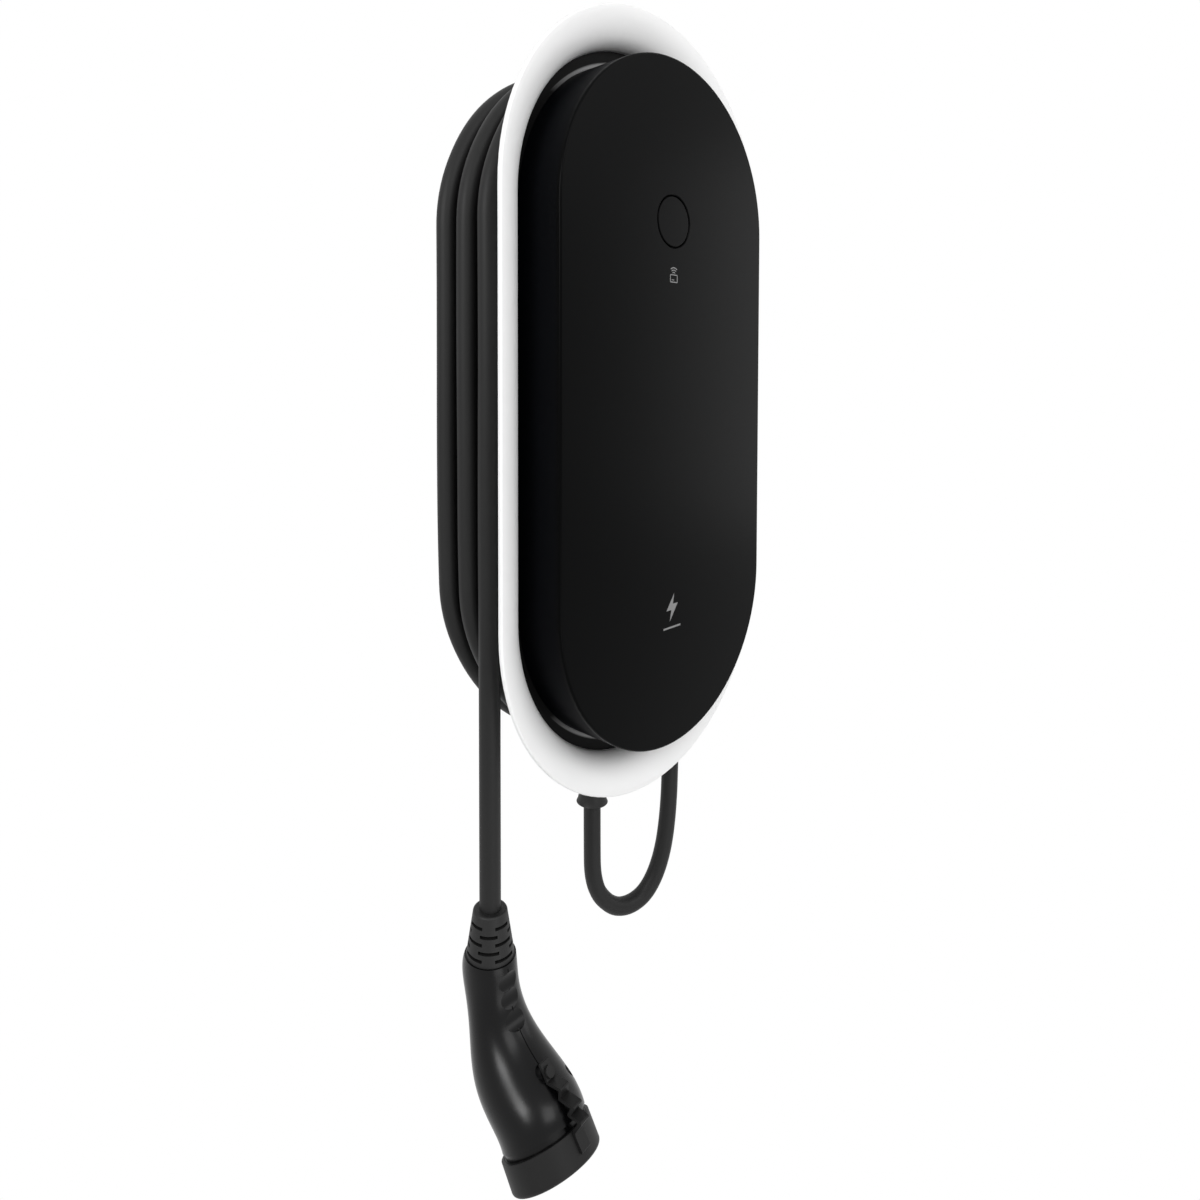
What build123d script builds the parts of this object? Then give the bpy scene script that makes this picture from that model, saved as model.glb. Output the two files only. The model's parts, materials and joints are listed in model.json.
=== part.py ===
from build123d import *
import math
import os

# Wall-mounted charging box for electric cars, with its cable wound behind a white ring.
# Origin on the wall, level with the middle of the ring. X to the right, +Y into the wall, +Z up.
# Millimetres throughout.

# Front body
body_half_width = 103.0
body_straight = 118.5          # half length of the straight sides
body_depth = 34.0              # from the clamping flange to the front
body_wall = 3.2
cover_thickness = 3.4
cover_edge_radius = 1.4
skirt_depth = 3.2
gasket_thickness = 2.0
ledge_thickness = 2.5
flange_thickness = 3.0

# White cable ring
ring_groove = 4.6              # gap between the body and the ring, at the sides
ring_end_groove = 9.8          # and at the round ends
dish_side_width = 22.3
dish_end_width = 24.6
dish_depth = 20.7              # from the drum's front face to the rim
rim_thickness = 2.6
rim_edge_radius = 1.2
foot_thickness = 3.0
opening_side_inset = 19.0
opening_end_inset = 37.5

# Rear housing, which is also the drum that the cable is wound on
drum_side_overhang = 4.2       # past the front body, at the sides
drum_end_inset = 6.4           # inside the front body, at the round ends
drum_front_y = -76.0
drum_back_y = -10.0
drum_wall = 3.0
back_wall = 3.5

# Wall bracket
bracket_half_width = 72.0
bracket_straight = 95.0
bracket_plate = 3.0
bracket_rim = 3.0
wall_hole_radius = 2.75
wall_hole_inset = 17.0
wall_hole_rise = 30.0          # above the straight sides

# Cable
cable_diameter = 13.0
cable_clearance = 0.1
lane_first_y = -27.5
lane_step = 20.0
lane_count = 3

# Push button
button_drop = 0.5              # below the top of the straight sides
button_radius = 16.0
button_gap = 0.9
button_recess = 0.2
button_travel = 1.5
button_flange_extra = 2.5
button_stem_radius = 5.0
switch_height = 7.0

# Electronics
board_side_inset = 8.0
board_low_inset = 8.5
board_high_reach = 21.5        # above the straight sides
board_thickness = 1.6
capacitor_z = 82.0
reader_height = 30.0
reader_gap = 4.0
post_height = 8.0
rail_drop = 67.9               # below the top of the drum's straight sides
rail_depth = 7.5
rail_end_inset = 11.2
module_depth = 46.0
module_height = 80.0
module_step = 8.0
module_gap = 4.0
contactor_x = (-58.0, -4.0)
sensor_x = (0.0, 40.0)
terminal_height = 52.0

# Cable outlet
gland_x = 21.5
gland_y = -26.0
gland_boss_radius = 15.0
gland_boss_drop = 20.9         # below the drum
gland_hex_height = 8.0
gland_nut_height = 24.0
trumpet_length = 33.0
trumpet_mouth_radius = 11.8

# Connector on the end of the cable
boot_top = -300.5
boot_length = 27.5
boot_top_radius = 10.2
boot_bottom_radius = 14.6
boot_neck_radius = 11.0
nose_tilt = 37.5
nose_forward = 47.6            # the cap's rear plane, measured forward of the hanging cable
nose_z = -408.3
handle_wall = 2.6
collar_radius = 25.8
neck_radius = 24.3             # behind the cap
neck_length = 3.2
cap_radius = 27.0
cap_wall = 1.8
cap_length = 16.0
cap_end = 2.0
cap_clearance = 0.3
seam_width = 0.6
seam_depth = 0.5
groove_radius = 9.0            # of the finger grooves
groove_depth = 1.2
strap_angle = 6.0              # round the nose, from the top towards the left
strap_width = 7.0
strap_thickness = 1.8
peg_back = 28.0                # the strap's peg, measured back from the cap's rear plane
peg_seat = 23.0                # its seat on the handle, above the nose's axis
peg_radius = 2.4

# Screws and small clearances
screw_radius = 2.0
screw_head_radius = 3.0
clamp_grip = 18.0
handle_head_seat = 10.0
small_screw_radius = 1.5
thread_clearance = 0.1
hole_clearance = 0.25
fit_gap = 0.3

ring_throat = body_half_width + ring_groove
throat_straight = body_straight + ring_end_groove - ring_groove
ring_rim_y = drum_front_y - dish_depth
button_z = body_straight - button_drop
opening_half_width = body_half_width - opening_side_inset
opening_straight = body_straight + opening_side_inset - opening_end_inset
drum_half_width = body_half_width + drum_side_overhang
drum_straight = body_straight - drum_side_overhang - drum_end_inset
rail_z = drum_straight - rail_drop
wall_hole_x = bracket_half_width - wall_hole_inset
wall_hole_z = bracket_straight + wall_hole_rise

cable_radius = cable_diameter / 2
cable_bore = cable_radius + cable_clearance
coil_inner = drum_half_width + fit_gap
coil_outer = coil_inner + cable_diameter
lane_x = coil_inner + cable_radius
lane_last_y = lane_first_y - lane_step * (lane_count - 1)
plug_x = -lane_x
plug_y = lane_last_y


def slab(half_width, straight, y_back, y_front):
    """An upright plate with round ends, from y_back forward to y_front."""
    outline = Rot(0, 0, 90) * SlotOverall(2 * (half_width + straight), 2 * half_width)
    return extrude(Plane.XZ.offset(-y_back) * outline, y_back - y_front)


def slab_ring(outer, outer_straight, inner, inner_straight, y_back, y_front):
    """A plate with round ends and a like hole through it."""
    hole = slab(inner, inner_straight, y_back + 1, y_front - 1)
    return slab(outer, outer_straight, y_back, y_front) - hole


def disc(x, z, radius, y_back, y_front):
    """A round bar along Y."""
    return extrude(Plane.XZ.offset(-y_back) * Pos(x, z) * Circle(radius), y_back - y_front)


def post(x, y, radius, z_low, z_high):
    """A round bar along Z."""
    return extrude(Plane.XY.offset(z_low) * Pos(x, y) * Circle(radius), z_high - z_low)


def block(x_low, x_high, y_low, y_high, z_low, z_high):
    """A box given by its corners."""
    size = (x_high - x_low, y_high - y_low, z_high - z_low)
    middle = ((x_low + x_high) / 2, (y_low + y_high) / 2, (z_low + z_high) / 2)
    return Pos(*middle) * Box(*size)


def screw(x, z, radius, seat_y, tip_y, head_radius, head_height):
    """A pan-head screw along Y, with its head in front of the seat and a cross recess."""
    body = disc(x, z, radius, tip_y, seat_y) + disc(x, z, head_radius, seat_y, seat_y - head_height)
    slot = head_radius * 0.35
    depth = head_height / 2
    recess = block(x - head_radius * 0.6, x + head_radius * 0.6, seat_y - head_height - 1,
                   seat_y - head_height + depth, z - slot / 2, z + slot / 2)
    turned = Pos(x, 0, z) * Rot(0, 90, 0) * Pos(-x, 0, -z) * recess
    return body - recess - turned


def mirrored_spots(x, z):
    """The four places that mirror one another about the middle."""
    return [(side * x, level * z) for side in (-1, 1) for level in (-1, 1)]


# Places of the screws that clamp the front body and the ring to the drum
clamp_radius = body_half_width - 8.0
clamp_boss_radius = 9.5
clamp_side_z = drum_straight - 7.9
clamp_end_x = 48.0
clamp_end_z = drum_straight + math.sqrt(clamp_radius ** 2 - clamp_end_x ** 2)
clamp_spots = mirrored_spots(clamp_radius, clamp_side_z) + mirrored_spots(clamp_end_x, clamp_end_z)

flange_back_y = drum_front_y - foot_thickness
flange_front_y = flange_back_y - flange_thickness
front_y = flange_front_y - body_depth
cover_back_y = front_y + cover_thickness
skirt_back_y = cover_back_y + skirt_depth
ledge_front_y = skirt_back_y + gasket_thickness
body_inner = body_half_width - body_wall
board_back_y = flange_front_y - post_height
board_front_y = board_back_y - board_thickness
board_half_width = body_half_width - board_side_inset
board_bottom = board_low_inset - body_straight
board_top = body_straight + board_high_reach
board_post_x = board_half_width - 4.0
board_post_z = (board_top - board_bottom) / 2 - 25.0
board_middle = (board_bottom + board_top) / 2
board_spots = [(x, board_middle + z) for x, z in mirrored_spots(board_post_x, board_post_z)]
housing_screw_radius = bracket_half_width - 4.0
housing_screw_angle = math.radians(54)
housing_spots = mirrored_spots(housing_screw_radius * math.cos(housing_screw_angle),
                               bracket_straight + housing_screw_radius * math.sin(housing_screw_angle))
supply_x = 25.0 - wall_hole_x
supply_z = -wall_hole_z
supply_bore = 8.0
grommet_body_radius = 11.0
grommet_flange_radius = 14.0
gland_boss_bottom = -drum_straight - drum_half_width - gland_boss_drop


def make_wall_bracket():
    """A shallow tray that is screwed to the wall and carries the drum on its rim."""
    tray = slab(bracket_half_width, bracket_straight, 0, drum_back_y)
    hollow = slab(bracket_half_width - bracket_rim, bracket_straight, -bracket_plate, drum_back_y - 1)
    tray -= hollow
    for x, z in housing_spots:
        tray += disc(x, z, 5.0, 0, drum_back_y)
        tray -= disc(x, z, small_screw_radius + thread_clearance, -bracket_plate, drum_back_y - 1)
    for x, z in mirrored_spots(wall_hole_x, wall_hole_z):
        tray -= disc(x, z, wall_hole_radius, 1, drum_back_y)
    tray -= disc(supply_x, supply_z, grommet_flange_radius + 2, 1, drum_back_y)
    return tray


def make_rear_housing():
    """The drum: a deep tub with bosses, a boss for the cable outlet and a supply entry."""
    tub = slab(drum_half_width, drum_straight, drum_back_y, drum_front_y)
    inner = drum_half_width - drum_wall
    tub -= slab(inner, drum_straight, drum_back_y - back_wall, drum_front_y - 1)
    floor_y = drum_back_y - back_wall
    for x, z in clamp_spots:
        tub += disc(x, z, clamp_boss_radius, floor_y, drum_front_y)
        tub -= disc(x, z, screw_radius + thread_clearance, floor_y - 30, drum_front_y - 1)
    boss_top = -drum_straight - math.sqrt(inner ** 2 - gland_x ** 2) + 2
    tub += post(gland_x, gland_y, gland_boss_radius, gland_boss_bottom, boss_top)
    tub -= post(gland_x, gland_y, gland_thread_radius + cable_clearance, gland_boss_bottom - 1, boss_top + 8)
    for x, z in housing_spots:
        tub -= disc(x, z, small_screw_radius + hole_clearance, drum_back_y + 1, floor_y - 1)
    tub -= disc(supply_x, supply_z, grommet_body_radius, drum_back_y + 1, floor_y - 1)
    return tub


def make_supply_grommet():
    """A rubber bush that lines the supply cable's way in through the back."""
    floor_y = drum_back_y - back_wall
    bush = disc(supply_x, supply_z, grommet_body_radius, drum_back_y, floor_y)
    bush += disc(supply_x, supply_z, grommet_flange_radius, drum_back_y + 2, drum_back_y)
    bush += disc(supply_x, supply_z, grommet_flange_radius, floor_y, floor_y - 2)
    return bush - disc(supply_x, supply_z, supply_bore, drum_back_y + 3, floor_y - 3)


def dish_outline(reach, depth):
    """The dish's oval at a reach out from its throat and a depth behind its rim."""
    half_width = ring_throat + reach
    straight = throat_straight + (dish_end_width - dish_side_width) * reach / dish_side_width
    oval = Rot(0, 0, 90) * SlotOverall(2 * (half_width + straight), 2 * half_width)
    return Plane.XZ.offset(-ring_rim_y - depth) * oval


def make_cable_ring():
    """The white dish that hides the wound cable, with the flat foot that it is clamped by."""
    widest = dish_side_width
    back = [(3.4, 10.6), (7.5, 7.4), (11.0, 5.4), (widest - 8, 3.8), (widest, rim_thickness)]
    front = [(0.0, 13.2), (0.8, 10.6), (3.7, 6.8), (9.0, 3.0), (widest - 8, 0.8), (widest - 3, 0.0)]
    collar = extrude(dish_outline(*back[0]), dish_depth - back[0][1], dir=(0, 1, 0))
    rim = extrude(dish_outline(*back[-1]), rim_thickness, dir=(0, -1, 0))
    blank = collar + loft([dish_outline(*step) for step in back], ruled=True) + rim
    blank = fillet(blank.faces().sort_by(Axis.Y)[0].outer_wire().edges(), rim_edge_radius)
    throat = extrude(dish_outline(*front[0]), dish_depth, dir=(0, 1, 0))
    ring = blank - loft([dish_outline(*step) for step in front]) - throat
    ring += slab_ring(ring_throat + 1, throat_straight, opening_half_width, opening_straight,
                      drum_front_y, flange_back_y)
    for x, z in clamp_spots:
        ring -= disc(x, z, screw_radius + hole_clearance, drum_front_y + 1, flange_back_y - 1)
    return ring


def make_body_shell():
    """The dark side wall round the electronics, its clamping flange, ledge and board posts."""
    shell = slab_ring(body_half_width, body_straight, body_inner, body_straight, flange_back_y, cover_back_y)
    shell += slab_ring(body_half_width, body_straight, opening_half_width, opening_straight,
                       flange_back_y, flange_front_y)
    shell += slab_ring(body_half_width - 1, body_straight, body_inner - 5.3, body_straight,
                       ledge_front_y + ledge_thickness, ledge_front_y)
    for x, z in board_spots:
        shell += disc(x, z, 3.8, flange_front_y, board_back_y)
        shell -= disc(x, z, small_screw_radius + thread_clearance, flange_front_y - 1, board_back_y - 1)
    for x, z in clamp_spots:
        shell -= disc(x, z, screw_radius + hole_clearance, flange_back_y + 1, flange_front_y - 1)
    return shell


led_strip_thickness = 0.6
light_guide_thickness = 1.6


def groove_band(y_back, y_front):
    """A flat band that fills the bottom of the groove between the body and the ring."""
    return slab_ring(ring_throat - fit_gap, throat_straight, body_half_width + fit_gap, body_straight,
                     y_back, y_front)


def make_led_strip():
    """The thin ring-shaped board that carries the lamps of the light guide."""
    return groove_band(flange_back_y, flange_back_y - led_strip_thickness)


def make_light_guide():
    """The frosted ring at the bottom of the groove round the body."""
    back = flange_back_y - led_strip_thickness
    return groove_band(back, back - light_guide_thickness)


def make_front_cover():
    """The flat front with softened edges, a locating skirt behind and the button's hole."""
    plate = slab(body_half_width, body_straight, cover_back_y, front_y)
    front_edges = plate.faces().sort_by(Axis.Y)[0].edges()
    plate = fillet(front_edges, cover_edge_radius)
    skirt_outer = body_inner - fit_gap
    plate += slab_ring(skirt_outer, body_straight, skirt_outer - 2.2, body_straight, skirt_back_y, cover_back_y)
    hole = disc(0, button_z, button_radius + button_gap, cover_back_y + 1, front_y - 1)
    plate -= hole
    rim = plate.faces().sort_by(Axis.Y)[0].edges().filter_by(GeomType.CIRCLE).sort_by(SortBy.RADIUS)[0]
    return chamfer(rim, 0.5)


def make_cover_gasket():
    """The soft seal between the cover's skirt and the ledge in the body."""
    outer = body_inner - fit_gap
    return slab_ring(outer, body_straight, outer - 2.6, body_straight, ledge_front_y, skirt_back_y)


seat_inner = button_radius + button_flange_extra + 0.5
seat_wall = 5.0
seat_depth = 10.0
seat_floor = 2.0
button_flange_front_y = cover_back_y + fit_gap
button_flange_thickness = 1.7
button_flange_back_y = button_flange_front_y + button_flange_thickness
seat_floor_y = cover_back_y + seat_depth - seat_floor
switch_top_y = board_front_y - switch_height
stem_end_y = switch_top_y - button_travel - fit_gap


def make_push_button():
    """The round button: a flat face, a stop flange and a stem."""
    top_y = front_y + button_recess
    cap = disc(0, button_z, button_radius, button_flange_back_y, top_y)
    cap = fillet(cap.faces().sort_by(Axis.Y)[0].edges(), 0.6)
    flange = disc(0, button_z, button_radius + button_flange_extra, button_flange_back_y, button_flange_front_y)
    stem = disc(0, button_z, button_stem_radius, stem_end_y, button_flange_back_y)
    return cap + flange + stem


def make_button_seat():
    """The cup behind the cover that guides the button and carries its spring."""
    cup = disc(0, button_z, seat_inner + seat_wall, cover_back_y + seat_depth, cover_back_y)
    cup -= disc(0, button_z, seat_inner, seat_floor_y, cover_back_y - 1)
    return cup - disc(0, button_z, button_stem_radius + fit_gap, cover_back_y + seat_depth + 1, seat_floor_y - 1)


def make_button_spring():
    """A short coil spring between the button's flange and the floor of its seat."""
    wire = 0.5
    radius = 9.0
    turns = 3
    height = seat_floor_y - button_flange_back_y - 2 * wire - 0.1
    path = Helix(height / turns, height, radius)
    start = Plane(origin=path @ 0, z_dir=path % 0)
    coil = sweep(start * Circle(wire), path=path)
    return Pos(0, seat_floor_y - wire - 0.05, button_z) * Rot(90, 0, 0) * coil


def make_button_switch():
    """The small switch on the board that the stem presses."""
    shoulder = board_front_y - switch_height + 2
    base = block(-6, 6, shoulder, board_front_y, button_z - 6, button_z + 6)
    return base + disc(0, button_z, 3.0, shoulder + 1, switch_top_y)


def make_control_board():
    """The main circuit board with its soldered parts on both faces."""
    board = block(-board_half_width, board_half_width, board_front_y, board_back_y, board_bottom, board_top)
    corners = board.edges().filter_by(Axis.Y)
    board = fillet(corners, 12)
    for x, z in board_spots:
        board -= disc(x, z, small_screw_radius + hole_clearance, board_back_y + 1, board_front_y - 1)
    chips = [(-40, 20, 24, 24, 2.4), (10, 30, 16, 16, 1.8), (46, -10, 30, 12, 3.0), (-50, -50, 34, 10, 6.0),
             (0, -70, 60, 14, 9.0), (55, 60, 20, 26, 2.0)]
    for x, z, width, height, rise in chips:
        board += block(x - width / 2, x + width / 2, board_front_y - rise, board_front_y, z - height / 2, z + height / 2)
    for x in (-66, -50, 60):
        board += disc(x, capacitor_z, 6.0, board_front_y, board_front_y - 10)
    return board


def make_reader_antenna():
    """The flat coil of the card reader, on the back of the cover below the button."""
    high = button_z - seat_inner - seat_wall - reader_gap
    low = high - reader_height
    plate = block(-28, 28, cover_back_y, cover_back_y + 1.4, low, high)
    return plate - block(-17, 17, cover_back_y - 1, cover_back_y + 3, low + 9, high - 9)


rail_half_length = drum_half_width - rail_end_inset
rail_front_y = drum_back_y - back_wall - rail_depth
module_front_y = rail_front_y - module_depth
supply_module_x = (2.0 - rail_half_length, contactor_x[0] - module_gap)
terminal_x = (sensor_x[1] + module_gap, rail_half_length - 2.0)


def make_din_rail():
    """A top-hat rail on the drum's floor."""
    floor_y = drum_back_y - back_wall
    sheet = 1.2
    half_length = rail_half_length
    rail = block(-half_length, half_length, floor_y - sheet, floor_y, rail_z - 13.5, rail_z + 13.5)
    for side in (-1, 1):
        web = rail_z + side * 12.9
        rail += block(-half_length, half_length, rail_front_y, floor_y, web - sheet / 2, web + sheet / 2)
        lip = rail_z + side * 15.0
        rail += block(-half_length, half_length, rail_front_y, rail_front_y + sheet, lip - 2.6, lip + 2.6)
    return rail


def make_module(x_low, x_high):
    """A rail-mounted device: a stepped housing with screw pockets top and bottom."""
    low = rail_z - module_height / 2
    high = rail_z + module_height / 2
    step_y = module_front_y + module_step
    device = block(x_low, x_high, step_y, rail_front_y, low, high)
    device += block(x_low, x_high, module_front_y, rail_front_y, rail_z - 21, rail_z + 21)
    poles = max(1, round((x_high - x_low) / 13))
    pitch = (x_high - x_low) / poles
    for pole in range(poles):
        x = x_low + pitch * (pole + 0.5)
        for z in (low + 8, high - 8):
            device -= disc(x, z, 3.2, step_y + 6, step_y - 1)
    return device


def make_terminal_block():
    """The row of clamps for the incoming supply."""
    low = rail_z - terminal_height / 2
    high = rail_z + terminal_height / 2
    row = block(terminal_x[0], terminal_x[1], module_front_y + 12, rail_front_y, low, high)
    pitch = (terminal_x[1] - terminal_x[0]) / 5
    for place in range(5):
        x = terminal_x[0] + pitch * (place + 0.5)
        for z in (low + 9, high - 9):
            row -= disc(x, z, 3.4, module_front_y + 22, module_front_y + 11)
    for place in range(1, 5):
        x = terminal_x[0] + pitch * place
        row -= block(x - 0.5, x + 0.5, module_front_y + 11, module_front_y + 15, low - 1, high + 1)
    return row


# Cable outlet: a threaded body in the drum's boss, a domed nut and a trumpet
gland_thread_radius = 8.0
gland_hex_bottom = gland_boss_bottom - gland_hex_height
gland_nut_bottom = gland_hex_bottom - gland_nut_height
trumpet_bottom = gland_nut_bottom - trumpet_length
wire_radius = 1.4
wire_circle = 3.0
wire_bore = wire_circle + wire_radius + 0.4
cord_start_z = trumpet_bottom + 26.0


def make_gland_body():
    """The threaded body with its hexagon, bored for the five cores."""
    hexagon = extrude(Plane.XY.offset(gland_hex_bottom) * Pos(gland_x, gland_y) * RegularPolygon(14.0, 6),
                      gland_hex_height)
    thread = post(gland_x, gland_y, gland_thread_radius, gland_boss_bottom, gland_boss_bottom + 26)
    bore = post(gland_x, gland_y, wire_bore, gland_hex_bottom - 1, gland_boss_bottom + 27)
    return hexagon + thread - bore


def make_gland_nut():
    """The domed nut that squeezes the seal onto the cable."""
    nut = post(gland_x, gland_y, 13.2, gland_nut_bottom, gland_hex_bottom)
    nut = fillet(nut.faces().sort_by(Axis.Z)[0].edges(), 3.6)
    for turn in range(12):
        angle = math.radians(30 * turn)
        nut -= post(gland_x + 13.9 * math.cos(angle), gland_y + 13.9 * math.sin(angle), 1.5,
                    gland_nut_bottom + 8, gland_hex_bottom + 1)
    return nut - post(gland_x, gland_y, wire_bore, gland_nut_bottom - 1, gland_hex_bottom + 1)


def make_gland_trumpet():
    """The flared rubber sleeve that keeps the cable from kinking at the outlet."""
    neck = 9.2
    profile = Polyline((0, gland_nut_bottom), (neck, gland_nut_bottom), (neck, trumpet_bottom + 14))
    flare = Spline((neck, trumpet_bottom + 14), (neck + 0.8, trumpet_bottom + 6),
                   (trumpet_mouth_radius, trumpet_bottom), tangents=((0, -1), (0.6, -1)))
    close = Polyline((trumpet_mouth_radius, trumpet_bottom), (0, trumpet_bottom), (0, gland_nut_bottom))
    face = Plane.XZ * make_face(profile + flare + close)
    sleeve = Pos(gland_x, gland_y, 0) * revolve(face, Axis.Z)
    sleeve -= post(gland_x, gland_y, cable_bore, trumpet_bottom - 1, cord_start_z)
    return sleeve - post(gland_x, gland_y, wire_bore, cord_start_z - 1, gland_nut_bottom + 1)


def make_inner_wires():
    """The cable's five cores, from the cable's end up to the fault current sensor."""
    bottom = rail_z - module_height / 2
    wires = []
    for core in range(5):
        angle = math.radians(72 * core + 18)
        x = gland_x + wire_circle * math.cos(angle)
        y = gland_y + wire_circle * math.sin(angle)
        wires.append(post(x, y, wire_radius, cord_start_z, bottom))
    return Compound(children=wires)


# The cable below the outlet: down, round in a short loop and up behind the ring to the drum
loop_direction = (0.935, -0.3545)
notch_z = -100.0


def loop_point(across, z):
    """A point in the upright plane of the loop."""
    return (gland_x + loop_direction[0] * across, gland_y + loop_direction[1] * across, z)


loop_route = [
    (gland_x, gland_y, cord_start_z),
    (gland_x, gland_y, -326.0),
    loop_point(0.5, -367.0),
    loop_point(16.0, -387.0),
    loop_point(32.5, -390.5),
    loop_point(49.0, -382.5),
    loop_point(61.5, -358.5),
    (83.0, -51.0, -321.0),
    (87.0, -49.5, -273.0),
    (97.0, -43.0, -222.0),
    (107.5, -33.0, -176.0),
    (lane_x, lane_first_y, -136.0),
    (lane_x, lane_first_y, notch_z),
]


def cable_tube(route, name):
    """A tube of the cable's section along straight runs joined by tangent arcs."""
    points = [Vector(*p) for p in route]
    radii = []
    for before, here, after in zip(points, points[1:], points[2:]):
        turn = math.radians((here - before).get_angle(after - here))
        shorter = min((here - before).length, (after - here).length)
        radii.append(0.45 * shorter / math.tan(turn / 2))
    path = FilletPolyline(*points, radius=radii)
    start = Plane(origin=path @ 0, z_dir=path % 0)
    tube = sweep(start * Circle(cable_radius), path=path)
    ideal = math.pi * cable_radius ** 2 * path.length
    print(name, "radii in diameters", [round(r / cable_diameter, 1) for r in radii])
    print(name, "length", round(path.length, 1), "volume over section times length", round(tube.volume / ideal, 4))
    return tube


def make_cord_coil():
    """The wound cable as one solid of its outer shape, with room left for the outlet's boss."""
    back_y = lane_first_y + cable_radius
    end_y = lane_last_y - cable_radius
    coil = slab_ring(coil_outer, drum_straight, coil_inner, drum_straight, back_y, end_y)
    room_y = gland_y - gland_boss_radius - fit_gap
    return coil - block(0, coil_outer + 5, room_y, back_y + 5, -drum_straight - coil_outer - 5, notch_z)


# Connector. Its middle plane is upright and runs forward from the hanging cable.
nose_frame = Plane(origin=(plug_x, plug_y - nose_forward, nose_z), x_dir=(1, 0, 0),
                   z_dir=(0, -math.sin(math.radians(nose_tilt)), -math.cos(math.radians(nose_tilt))))
boot_bottom = boot_top - boot_length
handle_sections = [
    (0.0, boot_bottom, 0, 15.6, 15.6),
    (2.0, boot_bottom - 21, 10, 16.2, 16.8),
    (8.5, boot_bottom - 39, 22, 18.4, 18.6),
    (20.5, boot_bottom - 56.5, 31, 23.2, 25.2),
    (nose_forward - 8.5, nose_z + 11.1, nose_tilt, 25.4, 26.8),
    (nose_forward, nose_z, nose_tilt, collar_radius, collar_radius),
]
# Finger grooves: forward of the hanging cable, below the boot, and the skin's lean in degrees
finger_grooves = [(16.6, 9.0, 8), (18.5, 18.5, 16), (22.9, 28.5, 32)]
clamp_top = boot_bottom - 8
cord_end_z = clamp_top - 7
carrier_rear = -13.0
carrier_radius = 21.8
nose_radius = cap_radius - cap_wall - cap_clearance
nose_end = cap_length - cap_end - cap_clearance


def handle_solid(shrink):
    """The handle's outer form, or its hollow where shrink is the wall."""
    faces = []
    for forward, level, tilt, half_width, half_depth in handle_sections:
        angle = math.radians(tilt)
        frame = Plane(origin=(plug_x, plug_y - forward, level), x_dir=(1, 0, 0),
                      z_dir=(0, -math.sin(angle), -math.cos(angle)))
        faces.append(frame * Ellipse(half_width - shrink, half_depth - shrink))
    return loft(faces)


handle_screw_spots = [(plug_y - 7.0, boot_bottom - 29.0)]
for up in (-15.0, 15.0):
    spot = nose_frame.from_local_coords((0, up, carrier_rear - 6.5))
    handle_screw_spots.append((spot.Y, spot.Z))


def bar_along_x(y, z, radius, x_low, x_high):
    """A round bar along X."""
    return Pos((x_low + x_high) / 2, y, z) * Rot(0, 90, 0) * Cylinder(radius, x_high - x_low)


strap_side = nose_frame.rotated((0, 0, strap_angle))
peg_plane = Plane(origin=strap_side.from_local_coords((0, 0, -peg_back)),
                  x_dir=strap_side.z_dir, z_dir=strap_side.y_dir)


def make_handle():
    """Both halves of the handle as one hollow body, before it is split."""
    outer = handle_solid(0)
    seam = outer - handle_solid(seam_depth)
    seam &= block(plug_x - seam_width / 2, plug_x + seam_width / 2, plug_y - 100, plug_y + 100,
                  nose_z - 100, boot_bottom - 2)
    for forward, level, lean in finger_grooves:
        reach = groove_radius - groove_depth
        y = plug_y - forward - reach * math.cos(math.radians(lean))
        z = boot_bottom - level + reach * math.sin(math.radians(lean))
        outer -= bar_along_x(y, z, groove_radius, plug_x - 30, plug_x + 30)
    hollow = handle_solid(handle_wall)
    front_wall = extrude(nose_frame.offset(-neck_length - 2) * Circle(40), neck_length + 3)
    top_wall = post(plug_x, plug_y, 40, boot_bottom - 3, boot_bottom + 1)
    handle = outer - (hollow - front_wall - top_wall) - seam
    handle -= extrude(nose_frame.offset(-neck_length) * (Circle(40) - Circle(neck_radius)), neck_length + 1)
    handle += extrude(peg_plane.offset(peg_seat - 8) * Circle(4.6), 8) - hollow
    for y, z in handle_screw_spots:
        handle += bar_along_x(y, z, 4.2, plug_x - 40, plug_x + 40) & outer
    seat = extrude(nose_frame.offset(carrier_rear - fit_gap) * Circle(carrier_radius + 0.1), 2 - carrier_rear)
    handle -= seat
    handle -= post(plug_x, plug_y, boot_neck_radius + cable_clearance, boot_bottom - 4, boot_bottom + 1)
    for y, z in handle_screw_spots:
        handle -= bar_along_x(y, z, small_screw_radius + thread_clearance, plug_x - 11, plug_x)
        handle -= bar_along_x(y, z, small_screw_radius + hole_clearance, plug_x, plug_x + 40)
        handle -= bar_along_x(y, z, screw_head_radius + hole_clearance, plug_x + handle_head_seat, plug_x + 40)
    return handle - extrude(peg_plane.offset(peg_seat - 6) * Circle(peg_radius + thread_clearance), 8)


def make_bend_relief():
    """The slotted boot that leads the cable into the handle."""
    boot = Pos(plug_x, plug_y, (boot_top + boot_bottom) / 2) * Cone(boot_bottom_radius, boot_top_radius, boot_length)
    boot = fillet(boot.edges().sort_by(Axis.Z)[-1], 1.6)
    boot += post(plug_x, plug_y, boot_neck_radius, clamp_top, boot_bottom)
    for row in range(5):
        level = boot_top - 6.5 - row * 4.4
        for turn in range(4):
            angle = 90 * turn + 45 * (row % 2)
            slot = Pos(plug_x, plug_y, level) * Rot(0, 0, angle) * Pos(13, 0, 0) * Box(9.0, 9.5 + row, 1.8)
            boot -= slot
    return boot - post(plug_x, plug_y, cable_bore, clamp_top - 1, boot_top + 1)


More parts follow.
